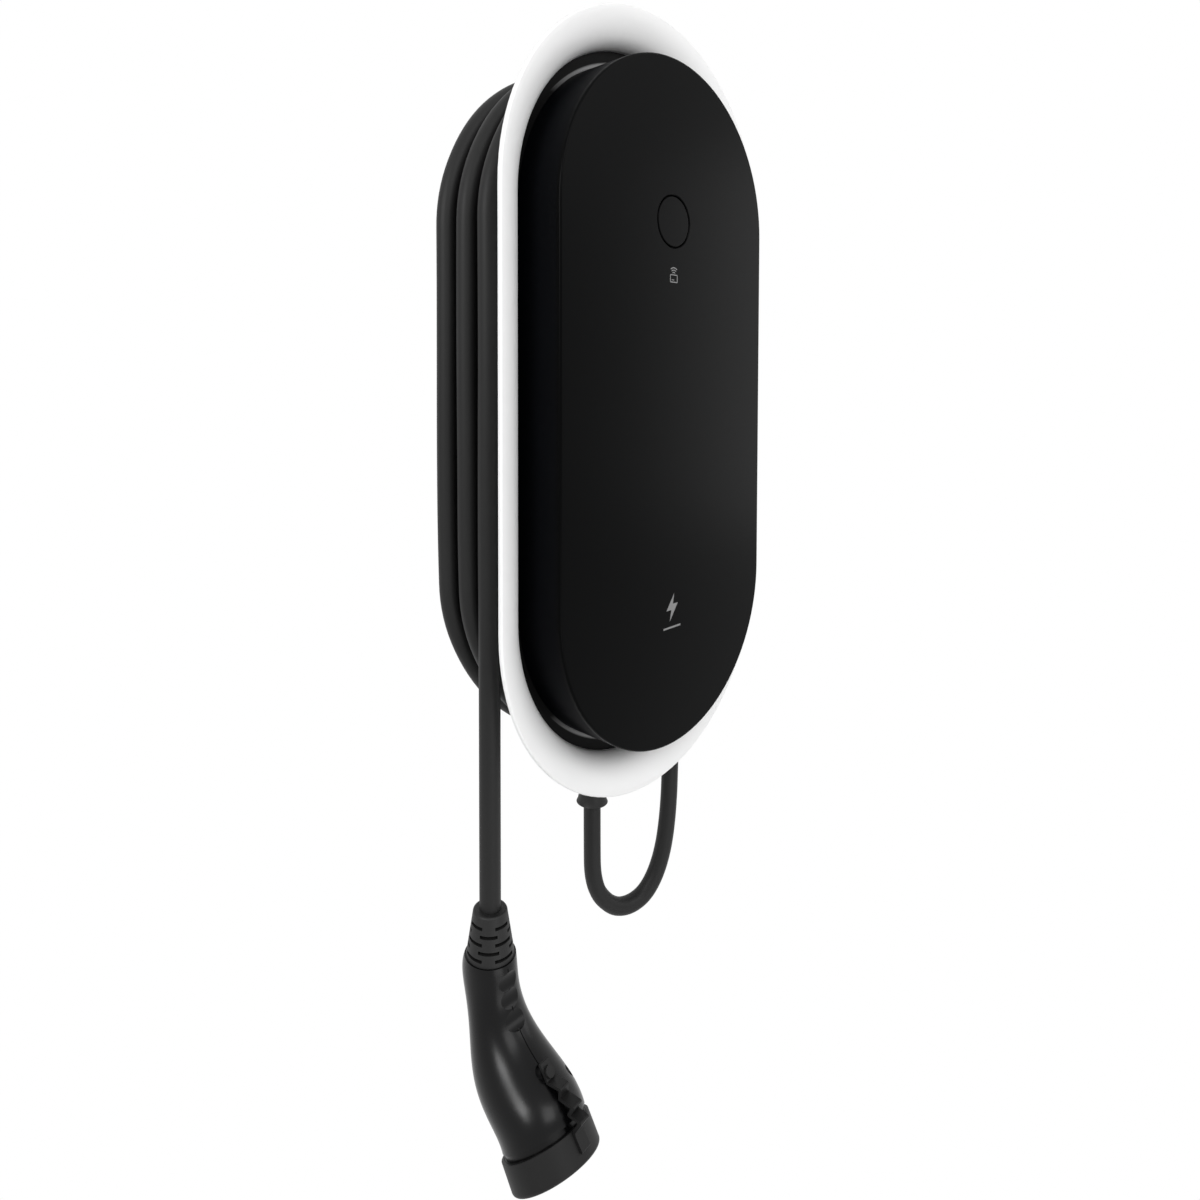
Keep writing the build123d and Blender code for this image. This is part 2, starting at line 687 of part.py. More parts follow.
def make_cord_clamp():
    """The collar that grips the cable's end below the boot."""
    collar = post(plug_x, plug_y, 12.0, cord_end_z, clamp_top)
    return collar - post(plug_x, plug_y, cable_bore, cord_end_z - 1, boot_bottom)


def make_handle_screws():
    """Three screws that hold the handle's halves together."""
    screws = []
    for y, z in handle_screw_spots:
        seat = plug_x + handle_head_seat
        shank = bar_along_x(y, z, small_screw_radius, plug_x - 10, seat)
        head = bar_along_x(y, z, screw_head_radius, seat, seat + 2.2)
        screws.append(shank + head)
    return Compound(children=screws)


contact_layout = [(-9.0, 11.0, 1.8), (9.0, 11.0, 1.8), (-15.4, 0.0, 3.1), (0.0, 0.0, 3.1), (15.4, 0.0, 3.1),
                  (-8.0, -12.4, 3.1), (8.0, -12.4, 3.1)]
sleeve_wall = 0.9


def make_contact_carrier():
    """The insulator: a shrouded nose with seven bores, and a spigot in the handle."""
    inner_block = 19.8
    shroud_wall = 2.4
    nose = extrude(nose_frame.offset(cap_clearance) * Circle(nose_radius), nose_end - cap_clearance)
    spigot = extrude(nose_frame.offset(carrier_rear) * Circle(carrier_radius), cap_clearance - carrier_rear)
    groove = nose_frame.offset(nose_end - 12) * (Circle(nose_radius - shroud_wall) - Circle(inner_block))
    carrier = nose + spigot - extrude(groove, 13)
    for x, y, radius in contact_layout:
        hole = nose_frame.offset(carrier_rear - 1) * Pos(x, y) * Circle(radius + cable_clearance)
        carrier -= extrude(hole, nose_end - carrier_rear + 2)
    return carrier


def make_contact_sleeves():
    """Seven socket contacts, one in each bore."""
    sleeves = []
    for x, y, radius in contact_layout:
        start = nose_frame.offset(carrier_rear)
        tube = start * Pos(x, y) * (Circle(radius) - Circle(radius - sleeve_wall))
        sleeves.append(extrude(tube, nose_end - carrier_rear - 3))
    return Compound(children=sleeves)


def make_protective_cap():
    """The push-on rubber cap with a thicker lip."""
    cap = extrude(nose_frame.offset(cap_clearance) * Circle(cap_radius), cap_length - cap_clearance)
    end = cap.faces().sort_by(lambda f: (f.center() - nose_frame.origin).dot(nose_frame.z_dir))[-1]
    cap = fillet(end.edges(), 2.0)
    hollow = extrude(nose_frame * Circle(cap_radius - cap_wall), cap_length - cap_end)
    return cap - hollow


def strap_ribbon(points, thickness, width):
    """A ribbon folded along points given as distance along the nose and out from its axis."""
    plane = Plane(origin=strap_side.origin, x_dir=strap_side.z_dir, z_dir=strap_side.x_dir)
    flip = 1 if plane.y_dir.dot(strap_side.y_dir) > 0 else -1
    line = Polyline(*[(along, flip * out) for along, out in points])
    face = plane * make_face(offset(line, thickness / 2, side=Side.BOTH))
    return extrude(face, width / 2, both=True)


def make_cap_strap():
    """The folded rubber strap that keeps the cap on the handle."""
    base = peg_seat + strap_thickness / 2
    rest = cap_radius + strap_thickness / 2
    zigzag = [(-peg_back - 5, base), (-peg_back + 3.8, base), (-19.5, base + 8.0), (-15.5, base + 4.5),
              (-10.0, base + 12.0), (-7.5, base + 6.5), (-2.5, base + 12.5), (0.5, rest + 1.0), (2.5, rest), (10.0, rest)]
    strap = strap_ribbon(zigzag, strap_thickness, strap_width)
    return strap - extrude(peg_plane.offset(peg_seat - 1) * Circle(peg_radius + thread_clearance), 4)


def make_strap_peg():
    """The peg through the strap's end into the handle."""
    top = peg_seat + strap_thickness
    pin = extrude(peg_plane.offset(peg_seat - 5) * Circle(peg_radius), top + 5 - peg_seat)
    return pin + extrude(peg_plane.offset(top) * Circle(peg_radius + 0.6), 1.6)


def group_screws(spots, radius, seat_y, tip_y, head_radius, head_height):
    """One screw at each place, as separate solids."""
    return Compound(children=[screw(x, z, radius, seat_y, tip_y, head_radius, head_height) for x, z in spots])


def make_all():
    """Every piece by its name."""
    floor_y = drum_back_y - back_wall
    handle = make_handle()
    middle = Plane(origin=(plug_x, 0, 0), x_dir=(0, 1, 0), z_dir=(1, 0, 0))
    drop_top = -drum_straight - 2
    return {
        "wall_bracket": make_wall_bracket(),
        "rear_housing": make_rear_housing(),
        "supply_grommet": make_supply_grommet(),
        "housing_screws": group_screws(housing_spots, small_screw_radius, floor_y, -bracket_plate - 0.5, 3.2, 2.2),
        "cable_ring": make_cable_ring(),
        "body_shell": make_body_shell(),
        "clamp_screws": group_screws(clamp_spots, screw_radius, flange_front_y, drum_front_y + clamp_grip, 3.8, 2.6),
        "led_strip": make_led_strip(),
        "light_guide": make_light_guide(),
        "front_cover": make_front_cover(),
        "cover_gasket": make_cover_gasket(),
        "push_button": make_push_button(),
        "button_seat": make_button_seat(),
        "button_spring": make_button_spring(),
        "button_switch": make_button_switch(),
        "control_board": make_control_board(),
        "board_screws": group_screws(board_spots, small_screw_radius, board_front_y, flange_front_y - 1.5, 2.8, 2.0),
        "reader_antenna": make_reader_antenna(),
        "din_rail": make_din_rail(),
        "contactor": make_module(*contactor_x),
        "fault_current_sensor": make_module(*sensor_x),
        "power_supply": make_module(*supply_module_x),
        "terminal_block": make_terminal_block(),
        "gland_body": make_gland_body(),
        "gland_nut": make_gland_nut(),
        "gland_trumpet": make_gland_trumpet(),
        "inner_wires": make_inner_wires(),
        "cord_loop": cable_tube(loop_route, "cord_loop"),
        "cord_coil": make_cord_coil(),
        "cord_drop": post(plug_x, plug_y, cable_radius, cord_end_z, drop_top),
        "bend_relief": make_bend_relief(),
        "handle_left": split(handle, bisect_by=middle, keep=Keep.BOTTOM),
        "handle_right": split(handle, bisect_by=middle, keep=Keep.TOP),
        "handle_screws": make_handle_screws(),
        "cord_clamp": make_cord_clamp(),
        "contact_carrier": make_contact_carrier(),
        "contact_sleeves": make_contact_sleeves(),
        "protective_cap": make_protective_cap(),
        "cap_strap": make_cap_strap(),
        "strap_peg": make_strap_peg(),
    }


os.makedirs("parts", exist_ok=True)
for name, shape in make_all().items():
    export_step(shape, f"parts/{name}.step")
    print(name, "solids", len(shape.solids()), "volume", round(shape.volume))
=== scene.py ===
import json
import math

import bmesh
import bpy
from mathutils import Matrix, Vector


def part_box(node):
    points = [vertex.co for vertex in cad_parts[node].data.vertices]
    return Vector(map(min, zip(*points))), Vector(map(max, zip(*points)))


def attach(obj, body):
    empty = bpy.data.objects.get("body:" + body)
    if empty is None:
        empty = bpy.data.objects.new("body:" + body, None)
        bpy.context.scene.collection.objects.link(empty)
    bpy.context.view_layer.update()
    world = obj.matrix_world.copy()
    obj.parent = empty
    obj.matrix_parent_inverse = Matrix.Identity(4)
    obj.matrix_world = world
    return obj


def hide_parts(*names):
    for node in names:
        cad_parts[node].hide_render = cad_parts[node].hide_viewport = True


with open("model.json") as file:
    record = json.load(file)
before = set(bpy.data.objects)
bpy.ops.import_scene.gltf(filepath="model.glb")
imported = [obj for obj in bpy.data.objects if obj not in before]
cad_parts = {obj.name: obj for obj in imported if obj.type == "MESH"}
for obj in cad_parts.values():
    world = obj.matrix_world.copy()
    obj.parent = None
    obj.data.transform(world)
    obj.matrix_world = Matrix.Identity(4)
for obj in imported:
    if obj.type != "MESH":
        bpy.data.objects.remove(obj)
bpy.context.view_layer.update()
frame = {"nodes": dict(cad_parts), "record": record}

# %% [markdown]
# # A charging wallbox with its cable wound behind a white ring
#
# The exact model is already in the scene: every rigid piece is where it belongs, in metres,
# with the wall at Y = 0, the front towards -Y and Z up. This notebook adds what the eye reads:
# the camera, the cable as one continuous line, the finishes, the printed marks and the light.
# Nothing that came with the frame is moved. Where a shape is right it only gets a finish.

nodes = frame["nodes"]
print("pieces in the frame:", len(nodes))

# %% [markdown]
# ## The camera
#
# A photograph fixes a camera by its perspective. The box was seen from the left, a little above
# its middle, from less than a metre away, so its left side and its wound cable show and the
# near edge looms. The frame is square, and the lens is given as it would be for a 36 mm sensor.
# The picture was cropped off its lens's middle, which a small shift repeats.

# %% Place the camera
sensor_width = 36.0
picture_width = 1200
focal_pixels = 817.0
lens_middle = (549.5, 403.3)
camera_place = Vector((-0.4250, -0.4366, 0.0197))
camera_yaw = math.radians(44.36)
camera_pitch = math.radians(1.96)

camera_data = bpy.data.cameras.new("photo_camera")
camera_data.sensor_width = sensor_width
camera_data.lens = sensor_width * focal_pixels / picture_width
camera_data.shift_x = (picture_width / 2 - lens_middle[0]) / picture_width
camera_data.shift_y = (lens_middle[1] - picture_width / 2) / picture_width
camera_data.clip_start = 0.01
camera = bpy.data.objects.new("photo_camera", camera_data)
bpy.context.scene.collection.objects.link(camera)
camera.rotation_euler = (math.pi / 2 - camera_pitch, 0.0, -camera_yaw)
camera.location = camera_place
bpy.context.scene.camera = camera
print("lens:", round(camera_data.lens, 2))
print("shift:", round(camera_data.shift_x, 3), round(camera_data.shift_y, 3))

# %% [markdown]
# ## The cable's route
#
# One cable runs from the trumpet under the box to the connector. It drops out of the trumpet,
# turns up in a short loop, joins the drum at the lower right, goes round it in three lanes from
# the wall towards the front, and hangs down on the left with the connector as its weight.
# It could be a simulated rope, but a charging cable is stiff and holds the shape that it was
# wound into, so its line is drawn: a smooth curve steered by a few points that are listed for the
# loop, and by points worked out in a loop of code for the turns. All these sizes
# are in millimetres, as in the exact model, and become metres at the end.

# %% Sizes that the cable follows
millimetre = 0.001
cable_radius = 6.5
outlet_x, outlet_y = 21.5, -26.0
loop_direction = (0.935, -0.3545)      # of the loop's upright plane, seen from above
drum_half_width = 107.2
drum_straight = 107.9                  # half length of the drum's straight sides
drum_gap = 0.3
lane_x = drum_half_width + drum_gap + cable_radius
lane_first_y = -27.5
lane_step = 20.0
lane_count = 3
plug_x, plug_y = -lane_x, lane_first_y - lane_step * (lane_count - 1)
hanging_levels = (-150.0, -200.0, -250.0, -300.0, -343.0)
print("lane of the cable:", lane_x, "connector hangs at:", plug_x, plug_y)

# %% Points of the loop below the outlet
def loop_point(across, z):
    """A point in the upright plane of the short loop."""
    return (outlet_x + loop_direction[0] * across, outlet_y + loop_direction[1] * across, z)


loop_points = [
    (outlet_x, outlet_y, -275.0),
    (outlet_x, outlet_y, -326.0),
    loop_point(0.5, -367.0),
    loop_point(16.0, -387.0),
    loop_point(32.5, -390.5),
    loop_point(49.0, -382.5),
    loop_point(61.5, -358.5),
    (83.0, -51.0, -321.0),
    (87.0, -49.5, -273.0),
    (97.0, -43.0, -222.0),
    (107.5, -33.0, -176.0),
    (lane_x, lane_first_y, -136.0),
]
print("loop points:", len(loop_points))

# %% [markdown]
# ## The turns on the drum
#
# Each turn follows the drum: up the right side, over the top, down the left and under the
# bottom. A smooth spline stays inside its steering points, so on the round ends the points
# stand a little further out, by the cosine of half the angle between them. The change from one
# lane to the next happens at the lower left, over a third of a turn, the way a hand lays it.
# A cable never lies quite like a machined spring, so each lane wanders by a fraction of a
# millimetre, by two slow waves that never fall in step.

# %% Work out the turns and the hanging end
straight_levels = (-85.0, -28.0, 28.0, 85.0)
change_shares = (0.12, 0.5, 0.88, 1.0, 1.0, 1.0)      # of the step to the next lane, along the arc
arc_steps = len(change_shares)
half_step = math.pi / arc_steps / 2
arc_reach = lane_x / math.cos(half_step)
arc_angles = [half_step * (2 * step + 1) for step in range(arc_steps)]
wander_waves = [(0.35, 1.7, 0.0), (0.25, 0.61, 1.0)]  # height, pace and start of each wave
turn_points = []


def add_turn_point(x, y, z):
    """One more steering point, which strays a little from its lane."""
    place = len(turn_points)
    stray = sum(height * math.sin(pace * place + start) for height, pace, start in wander_waves)
    turn_points.append((x, y + stray, z))


for lane in range(lane_count):
    y = lane_first_y - lane_step * lane
    for z in straight_levels:
        add_turn_point(lane_x, y, z)
    for angle in arc_angles:
        add_turn_point(arc_reach * math.cos(angle), y, drum_straight + arc_reach * math.sin(angle))
    for z in reversed(straight_levels):
        add_turn_point(-lane_x, y, z)
    if lane < lane_count - 1:
        for angle, share in zip(arc_angles, change_shares):
            turn_points.append((-arc_reach * math.cos(angle), y - lane_step * share,
                                -drum_straight - arc_reach * math.sin(angle)))

hanging_points = [(plug_x, plug_y, z) for z in hanging_levels]
route = [Vector(point) * millimetre for point in loop_points + turn_points + hanging_points]
print("steering points:", len(route))

# %% [markdown]
# ## The cable itself
#
# The cable is a curve with a round section, which is light and exact. A quadratic NURBS spline
# bends evenly between its steering points. Its order and its end points are set only after the
# points are there, because a new spline has too few points to accept them. The section has a
# depth of one and each point carries the cable's radius, so that the curve's box is right too.

# %% Draw the cable
cable_curve = bpy.data.curves.new("charging_cable", "CURVE")
cable_curve.dimensions = "3D"
cable_curve.bevel_depth = 1.0
cable_curve.bevel_resolution = 7
cable_curve.resolution_u = 10
cable_curve.use_fill_caps = True
spline = cable_curve.splines.new("NURBS")
spline.points.add(len(route) - 1)
for steering, place in zip(spline.points, route):
    steering.co = (*place, 1.0)
    steering.radius = cable_radius * millimetre
spline.order_u = 3
spline.use_endpoint_u = True
cable = bpy.data.objects.new("charging_cable", cable_curve)
bpy.context.scene.collection.objects.link(cable)
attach(cable, "wallbox")
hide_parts("cord_loop", "cord_coil", "cord_drop")

# %% [markdown]
# A copy of the curve without its section is turned into a mesh of the middle line, and both are
# removed again.

line_only = cable_curve.copy()
line_only.bevel_depth = 0.0
line_object = bpy.data.objects.new("cable_line", line_only)
line_mesh = bpy.data.meshes.new_from_object(line_object)
bpy.data.objects.remove(line_object)
bpy.data.meshes.remove(line_mesh)
bpy.data.curves.remove(line_only)

# %% [markdown]
# ## Finishes
#
# Moulded plastic is never one flat colour. It has a fine grain from the mould, which the bump
# repeats, and its gloss varies a little over the surface. One helper builds such a finish:
# a fine noise for the grain, a broad one for the gloss, and a faint change of colour. Values
# that are the same all over are set on the shader itself.

# %% A helper for moulded and painted finishes
grain_strength = 0.6
patch_scale = 14.0             # of the broad noise, per metre


def add_noise(tree, place, scale, detail):
    """A noise over the object's own coordinates."""
    noise = tree.nodes.new("ShaderNodeTexNoise")
    noise.inputs["Scale"].default_value = scale
    noise.inputs["Detail"].default_value = detail
    tree.links.new(place.outputs["Object"], noise.inputs["Vector"])
    return noise.outputs["Fac"]


def make_finish(name, colour, roughness, grain_size=0.0006, grain_depth=0.00002, gloss_spread=0.05,
                colour_spread=0.12, metallic=0.0, specular=0.5):
    """A procedural finish: grain as bump, uneven gloss and a faint change of colour."""
    finish = bpy.data.materials.new(name)
    finish.use_nodes = True
    tree = finish.node_tree
    shader = tree.nodes["Principled BSDF"]
    shader.inputs["Metallic"].default_value = metallic
    shader.inputs["Specular IOR Level"].default_value = specular
    place = tree.nodes.new("ShaderNodeTexCoord")

    grain = add_noise(tree, place, scale=1.0 / grain_size, detail=2.0)
    bump = tree.nodes.new("ShaderNodeBump")
    bump.inputs["Strength"].default_value = grain_strength
    bump.inputs["Distance"].default_value = grain_depth
    tree.links.new(grain, bump.inputs["Height"])
    tree.links.new(bump.outputs["Normal"], shader.inputs["Normal"])

    patches = add_noise(tree, place, scale=patch_scale, detail=4.0)
    gloss = tree.nodes.new("ShaderNodeMapRange")
    gloss.inputs["To Min"].default_value = max(0.02, roughness - gloss_spread)
    gloss.inputs["To Max"].default_value = min(1.0, roughness + gloss_spread)
    tree.links.new(patches, gloss.inputs["Value"])
    tree.links.new(gloss.outputs["Result"], shader.inputs["Roughness"])

    shades = tree.nodes.new("ShaderNodeMix")
    shades.data_type = "RGBA"
    darker = [channel * (1 - colour_spread) for channel in colour]
    lighter = [min(1.0, channel * (1 + colour_spread)) for channel in colour]
    shades.inputs["A"].default_value = (*darker, 1.0)
    shades.inputs["B"].default_value = (*lighter, 1.0)
    tree.links.new(patches, shades.inputs["Factor"])
    tree.links.new(shades.outputs["Result"], shader.inputs["Base Color"])
    finish.diffuse_color = (*colour, 1.0)
    return finish


# %% [markdown]
# ## Which piece is made of what
#
# The front cover and the body are satin black, the ring is white with a soft sheen, the cable
# and the cap are dull rubber, and the connector's handle is a slightly shinier black. Inside
# are green circuit boards, pale grey devices and plated steel. The colours are written as
# linear values, as light adds up, so a dark grey on the screen is a very small number here.

# %% Make the finishes
finishes = {
    "panel_black": make_finish("panel_black", (0.0004, 0.0005, 0.0006), 0.30, gloss_spread=0.015,
                               specular=0.036),
    "body_black": make_finish("body_black", (0.0012, 0.0014, 0.0020), 0.40, gloss_spread=0.03, specular=0.03),
    "button_black": make_finish("button_black", (0.0004, 0.0005, 0.0006), 0.28, gloss_spread=0.015,
                                specular=0.037),
    "ring_white": make_finish("ring_white", (0.90, 0.90, 0.90), 0.45, colour_spread=0.01, specular=0.3),
    "frosted_guide": make_finish("frosted_guide", (0.30, 0.30, 0.30), 0.55, colour_spread=0.03,
                                 specular=0.06),
    "housing_plastic": make_finish("housing_plastic", (0.008, 0.008, 0.009), 0.55, grain_depth=0.00005,
                                   specular=0.15),
    "bracket_plastic": make_finish("bracket_plastic", (0.012, 0.012, 0.012), 0.6, grain_depth=0.00005,
                                   specular=0.2),
    "cable_sheath": make_finish("cable_sheath", (0.014, 0.014, 0.014), 0.5, grain_size=0.0011,
                                grain_depth=0.00005, gloss_spread=0.08, colour_spread=0.2, specular=0.18),
    "soft_rubber": make_finish("soft_rubber", (0.008, 0.008, 0.008), 0.52, grain_depth=0.00004, specular=0.3),
    "cap_rubber": make_finish("cap_rubber", (0.007, 0.007, 0.007), 0.5, grain_depth=0.00004, specular=0.2),
    "handle_black": make_finish("handle_black", (0.0010, 0.0010, 0.0012), 0.27, grain_size=0.0009,
                                grain_depth=0.00002, specular=0.20),
    "carrier_black": make_finish("carrier_black", (0.008, 0.008, 0.008), 0.45, specular=0.2),
    "gland_plastic": make_finish("gland_plastic", (0.010, 0.010, 0.010), 0.5, grain_depth=0.00004,
                                 specular=0.2),
    "inner_plastic": make_finish("inner_plastic", (0.03, 0.03, 0.03), 0.5),
    "device_grey": make_finish("device_grey", (0.42, 0.43, 0.44), 0.5, colour_spread=0.03),
    "board_green": make_finish("board_green", (0.012, 0.09, 0.035), 0.35, grain_size=0.0015),
    "wire_insulation": make_finish("wire_insulation", (0.16, 0.06, 0.02), 0.4),
    "zinc_steel": make_finish("zinc_steel", (0.62, 0.62, 0.60), 0.34, metallic=1.0, colour_spread=0.05),
    "spring_steel": make_finish("spring_steel", (0.7, 0.7, 0.7), 0.22, metallic=1.0, colour_spread=0.03),
    "contact_brass": make_finish("contact_brass", (0.78, 0.68, 0.50), 0.28, metallic=1.0, colour_spread=0.05),
}
print("finishes:", len(finishes))

# %% [markdown]
# The light guide keeps its own pale grey only along its inner edge at the round ends. Further out,
# in the depth of the groove, shade is painted into its colour: it is painted near black where the
# groove lies in shadow. The distance from the body's side is worked out in the material itself,
# from the body's half width and straight length.

# %% Helpers for sums and fades in a material
def add_math(tree, operation, first, second):
    """A sum of one socket and either another socket or a fixed number."""
    node = tree.nodes.new("ShaderNodeMath")
    node.operation = operation
    tree.links.new(first, node.inputs[0])
    if isinstance(second, float):
        node.inputs[1].default_value = second
    else:
        tree.links.new(second, node.inputs[1])
    return node.outputs["Value"]


def add_fade(tree, value, start, end, from_amount, to_amount):
    """An amount that changes evenly while the value, in metres, goes from start to end."""
    node = tree.nodes.new("ShaderNodeMapRange")
    node.inputs["From Min"].default_value = start
    node.inputs["From Max"].default_value = end
    node.inputs["To Min"].default_value = from_amount
    node.inputs["To Max"].default_value = to_amount
    tree.links.new(value, node.inputs["Value"])
    return node.outputs["Result"]


# %% Paint shade on the light guide away from the body
body_half_width = 103.0 * millimetre
body_straight = 118.5 * millimetre
bright_edge = 1.6 * millimetre         # this close to the body's side, the guide is bright
edge_end = 2.8 * millimetre
dark_rise = 72.0 * millimetre          # up to here above the straight sides, the guide is dark
bright_rise = 94.0 * millimetre
# painted shade: the near black that stands in for the groove's shadow on the light guide
painted_shade_colour = (0.002, 0.002, 0.002, 1.0)

guide_tree = finishes["frosted_guide"].node_tree
guide_colour = guide_tree.nodes["Principled BSDF"].inputs["Base Color"]
plain_colour = guide_colour.links[0].from_socket
guide_place = guide_tree.nodes.new("ShaderNodeTexCoord")
axes = guide_tree.nodes.new("ShaderNodeSeparateXYZ")
guide_tree.links.new(guide_place.outputs["Object"], axes.inputs["Vector"])
level = add_math(guide_tree, "ABSOLUTE", axes.outputs["Z"], 0.0)
rise = add_math(guide_tree, "MAXIMUM", add_math(guide_tree, "SUBTRACT", level, body_straight), 0.0)
from_middle = guide_tree.nodes.new("ShaderNodeCombineXYZ")
guide_tree.links.new(axes.outputs["X"], from_middle.inputs["X"])
guide_tree.links.new(rise, from_middle.inputs["Z"])
distance = guide_tree.nodes.new("ShaderNodeVectorMath")
distance.operation = "LENGTH"
guide_tree.links.new(from_middle.outputs["Vector"], distance.inputs[0])
outside = add_fade(guide_tree, distance.outputs["Value"], body_half_width + bright_edge,
                   body_half_width + edge_end, 0.0, 1.0)
low_down = add_fade(guide_tree, rise, dark_rise, bright_rise, 1.0, 0.0)
# the painted shade is mixed in wherever the guide lies away from its inner edge at the round ends
painted_shade_mix = guide_tree.nodes.new("ShaderNodeMix")
painted_shade_mix.data_type = "RGBA"
painted_shade_mix.inputs["B"].default_value = painted_shade_colour
guide_tree.links.new(plain_colour, painted_shade_mix.inputs["A"])
guide_tree.links.new(add_math(guide_tree, "MAXIMUM", outside, low_down), painted_shade_mix.inputs["Factor"])
guide_tree.links.new(painted_shade_mix.outputs["Result"], guide_colour)
print("steps in the light guide's finish:", len(guide_tree.nodes))

# %% [markdown]
# ## Dressing the exact pieces
#
# The record says which finish each piece has. Round faces are shaded smooth, and faces that
# meet at more than a slight angle stay crisp.

# %% Give each piece its finish and smooth its round faces
crisp_angle = math.radians(28)
slot_of = {entry["node"]: entry["material_slot"] for entry in frame["record"]["subparts"]}
for name, piece in nodes.items():
    finish = finishes[slot_of[name]]
    if not piece.data.materials:
        piece.data.materials.append(finish)
    for slot in piece.material_slots:
        slot.material = finish
    for face in piece.data.polygons:
        face.use_smooth = True
    edges = piece.modifiers.new("sharp_edges", "EDGE_SPLIT")
    edges.split_angle = crisp_angle
cable_curve.materials.append(finishes["cable_sheath"])
print("pieces finished:", len(nodes))

# %% [markdown]
# ## The printed marks
#
# Below the button a charger usually shows where to hold a card, and lower down it may carry a
# sign of what it is. Both are plain signs here: a card with waves, and a lightning bolt over a
# short bar. They are printed, so they are made as very thin raised shapes with their own grey
# ink, a twentieth of a millimetre proud of the cover, where light catches them like real ink.

# %% Helpers for flat marks on the cover
cover_face_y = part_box("front_cover")[0][1]
ink_height = 0.00005
ink = make_finish("printed_grey", (0.20, 0.20, 0.20), 0.45, colour_spread=0.04)


def print_mark(name, outlines, middle_z):
    """One printed piece made of closed outlines in millimetres, across and up from its middle."""
    mesh = bmesh.new()
    for outline in outlines:
        corners = [mesh.verts.new((x * millimetre, cover_face_y - ink_height, (z + middle_z) * millimetre))
                   for x, z in outline]
        mesh.faces.new(corners)
    bmesh.ops.recalc_face_normals(mesh, faces=mesh.faces)
    raised = bmesh.ops.extrude_face_region(mesh, geom=mesh.faces[:])
    verts = [item for item in raised["geom"] if isinstance(item, bmesh.types.BMVert)]
    bmesh.ops.translate(mesh, verts=verts, vec=(0, ink_height, 0))
    bmesh.ops.recalc_face_normals(mesh, faces=mesh.faces)
    data = bpy.data.meshes.new(name)
    mesh.to_mesh(data)
    mesh.free()
    piece = bpy.data.objects.new(name, data)
    bpy.context.scene.collection.objects.link(piece)
    data.materials.append(ink)
    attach(piece, "wallbox")
    print(name, "faces:", len(data.polygons))


def stroke(points, width):
    """The closed outline of a line of the given width through the points."""
    left, right = [], []
    for place, (x, z) in enumerate(points):
        before = points[max(place - 1, 0)]
        after = points[min(place + 1, len(points) - 1)]
        along = Vector((after[0] - before[0], after[1] - before[1])).normalized()
        left.append((x - along.y * width / 2, z + along.x * width / 2))
        right.append((x + along.y * width / 2, z - along.x * width / 2))
    return left + right[::-1]


def arc(middle, radius, start, end, steps=12):
    """Points along an arc, with its angles in degrees."""
    angles = [math.radians(start + (end - start) * step / steps) for step in range(steps + 1)]
    return [(middle[0] + radius * math.cos(a), middle[1] + radius * math.sin(a)) for a in angles]


# %% Print the card sign and the lightning sign
card_level, bolt_level = 84.0, -131.0
thin_line, thick_line = 0.6, 1.2
wave_middle = (0.0, -0.6)
wave_radii = (2.2, 3.7, 5.2)

card = [(-3.6, -4.6), (3.6, -4.6), (3.6, 0.0), (-3.6, 0.0), (-3.6, -4.6)]
card_sign = [stroke(card[side:side + 2], thin_line) for side in range(len(card) - 1)]
card_sign += [stroke([(-2.2, -3.2), (0.4, -3.2)], 0.5)]
card_sign += [stroke(arc(wave_middle, radius, 52, 128), thin_line) for radius in wave_radii]
print_mark("card_sign", card_sign, card_level)

bolt = [(2.2, 9.0), (-6.0, -1.6), (-0.8, -1.6), (-2.4, -9.0), (6.0, 2.2), (0.8, 2.2)]
bar = stroke([(-9.0, -13.0), (9.0, -13.0)], thick_line)
print_mark("charging_sign", [bolt, bar], bolt_level)

# %% [markdown]
# ## The stage
#
# The box hangs on a wall, and the picture shows it against plain white. The floor lies over a
# metre below, where such a box is mounted, and is plain white itself. Rays that go straight
# to the camera, and those that come off a mirror, see the world as white, while the light that
# the world gives is softer.

# %% A helper that shows white to the camera
def white_to_camera(tree, plain_shader, output_socket, white_shader):
    """Camera, glossy and transmission rays see the white shader, all others the plain one."""
    path = tree.nodes.new("ShaderNodeLightPath").outputs
    seen = add_math(tree, "MAXIMUM", path["Is Camera Ray"], path["Is Glossy Ray"])
    choice = tree.nodes.new("ShaderNodeMixShader")
    tree.links.new(add_math(tree, "MAXIMUM", seen, path["Is Transmission Ray"]), choice.inputs[0])
    tree.links.new(plain_shader, choice.inputs[1])
    tree.links.new(white_shader, choice.inputs[2])
    tree.links.new(choice.outputs[0], output_socket)


# %% The floor
floor_level = -1.15
floor_half_size = 6.0

floor_data = bpy.data.meshes.new("floor")
floor_mesh = bmesh.new()
bmesh.ops.create_grid(floor_mesh, x_segments=1, y_segments=1, size=floor_half_size)
floor_mesh.to_mesh(floor_data)
floor_mesh.free()
floor = bpy.data.objects.new("floor", floor_data)
floor.location = (0.0, 0.0, floor_level)
bpy.context.scene.collection.objects.link(floor)

floor_finish = make_finish("floor_white", (0.86, 0.86, 0.86), 0.8, grain_size=0.01)
floor_tree = floor_finish.node_tree
glow = floor_tree.nodes.new("ShaderNodeEmission")
glow.inputs["Strength"].default_value = 1.0
white_to_camera(floor_tree, floor_tree.nodes["Principled BSDF"].outputs[0],
                floor_tree.nodes["Material Output"].inputs["Surface"], glow.outputs[0])
floor_data.materials.append(floor_finish)
print("floor level, metres:", floor_level)

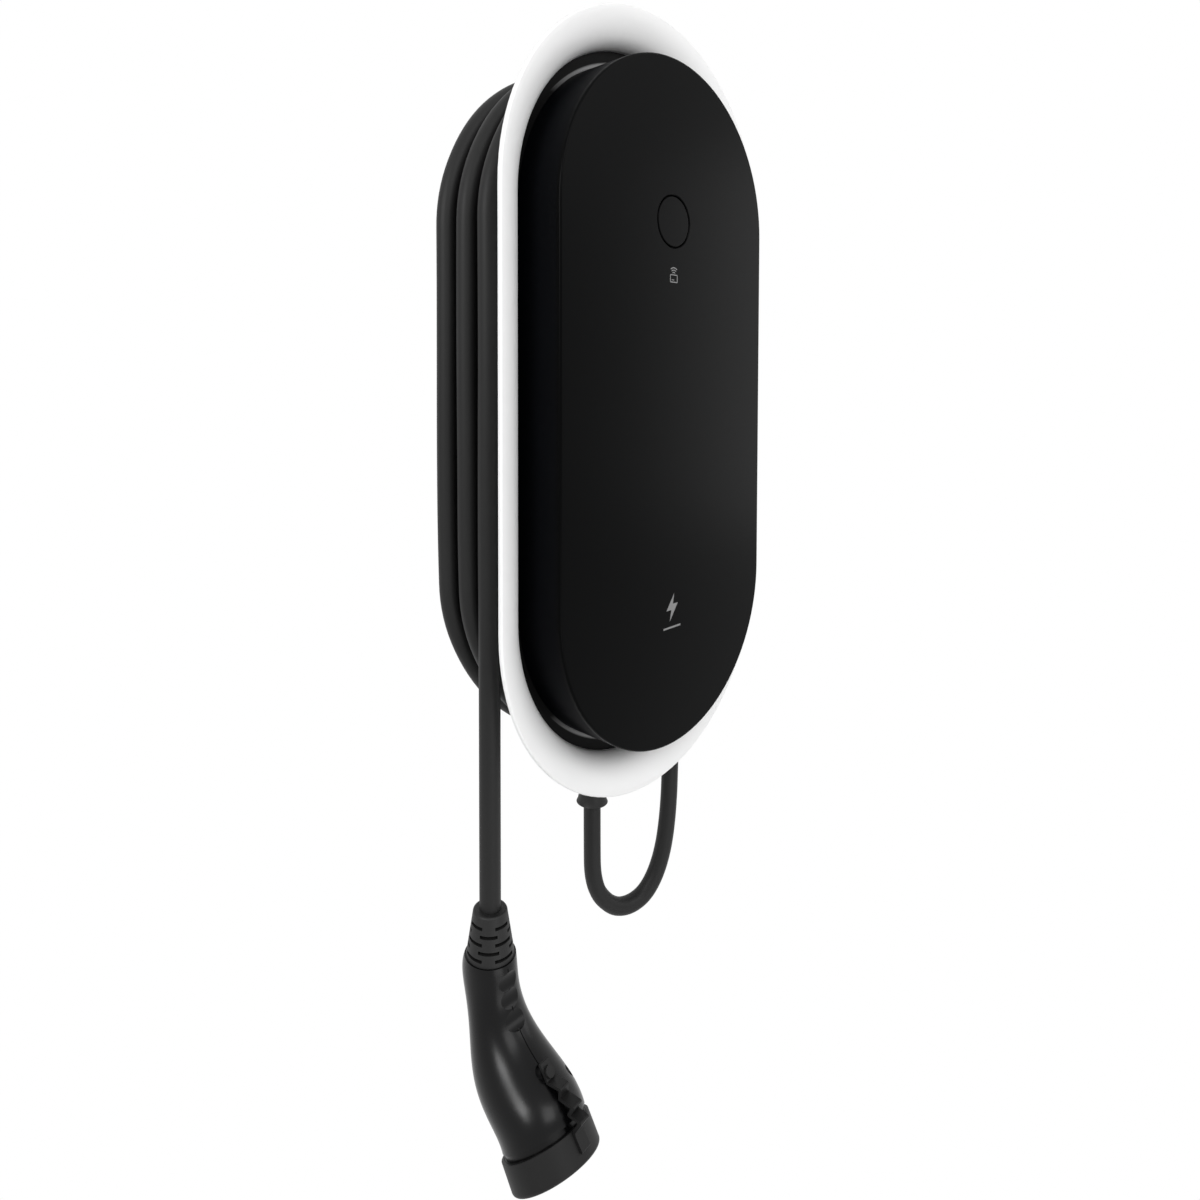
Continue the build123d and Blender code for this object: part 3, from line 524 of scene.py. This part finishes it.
# %% The world
world = bpy.data.worlds.new("studio")
bpy.context.scene.world = world
world.use_nodes = True
world_tree = world.node_tree
soft_sky = world_tree.nodes["Background"]
soft_sky.inputs["Color"].default_value = (1.0, 1.0, 1.0, 1.0)
soft_sky.inputs["Strength"].default_value = 0.35
white_sky = world_tree.nodes.new("ShaderNodeBackground")
white_sky.inputs["Color"].default_value = (1.0, 1.0, 1.0, 1.0)
white_sky.inputs["Strength"].default_value = 1.0
white_to_camera(world_tree, soft_sky.outputs[0], world_tree.nodes["World Output"].inputs["Surface"],
                white_sky.outputs[0])
print("world strength:", soft_sky.inputs["Strength"].default_value)

# %% [markdown]
# ## The light
#
# Soft boxes give the long, quiet gradients of the photograph. The large one at the upper left
# front makes the ring read as white and round, and two weaker ones fill in from the right and
# from below. A narrow one far to the right is mirrored by the right half of the panel, which so
# gets a little paler towards its edge. A brighter one stands at the left, like a window. It gives
# the clear highlight on the connector's handle, the bright left edge of the ring and the soft
# lines of light on the cable's turns.

# %% Place the lamps
def soft_box(name, place, target, size, power):
    """A rectangular area lamp that points at a target."""
    data = bpy.data.lights.new(name, "AREA")
    data.shape = "RECTANGLE"
    data.size, data.size_y = size
    data.energy = power
    lamp = bpy.data.objects.new(name, data)
    lamp.location = place
    direction = Vector(target) - Vector(place)
    lamp.rotation_euler = direction.to_track_quat("-Z", "Y").to_euler()
    bpy.context.scene.collection.objects.link(lamp)
    print(name, "watts:", power)


middle = (0.0, -0.06, -0.05)
left_side = (-0.12, -0.1, -0.2)
soft_box("key_front_left", (-0.7, -2.0, 1.5), middle, (1.4, 1.4), 25.0)
soft_box("fill_right", (1.3, -2.2, 1.3), middle, (1.2, 1.2), 10.0)
soft_box("fill_low", (-0.4, -2.0, -1.0), middle, (1.2, 1.0), 10.0)
soft_box("sheen_right", (1.5, -0.9, 0.1), middle, (0.5, 1.0), 3.0)
soft_box("window_left", (-1.8, -0.2, 0.7), left_side, (0.5, 0.7), 18.0)
bpy.context.scene.view_settings.view_transform = "Standard"

# %% [markdown]
# ## Last step
#
# The scene is brought up to date once more.

# %% Update the scene
bpy.context.view_layer.update()
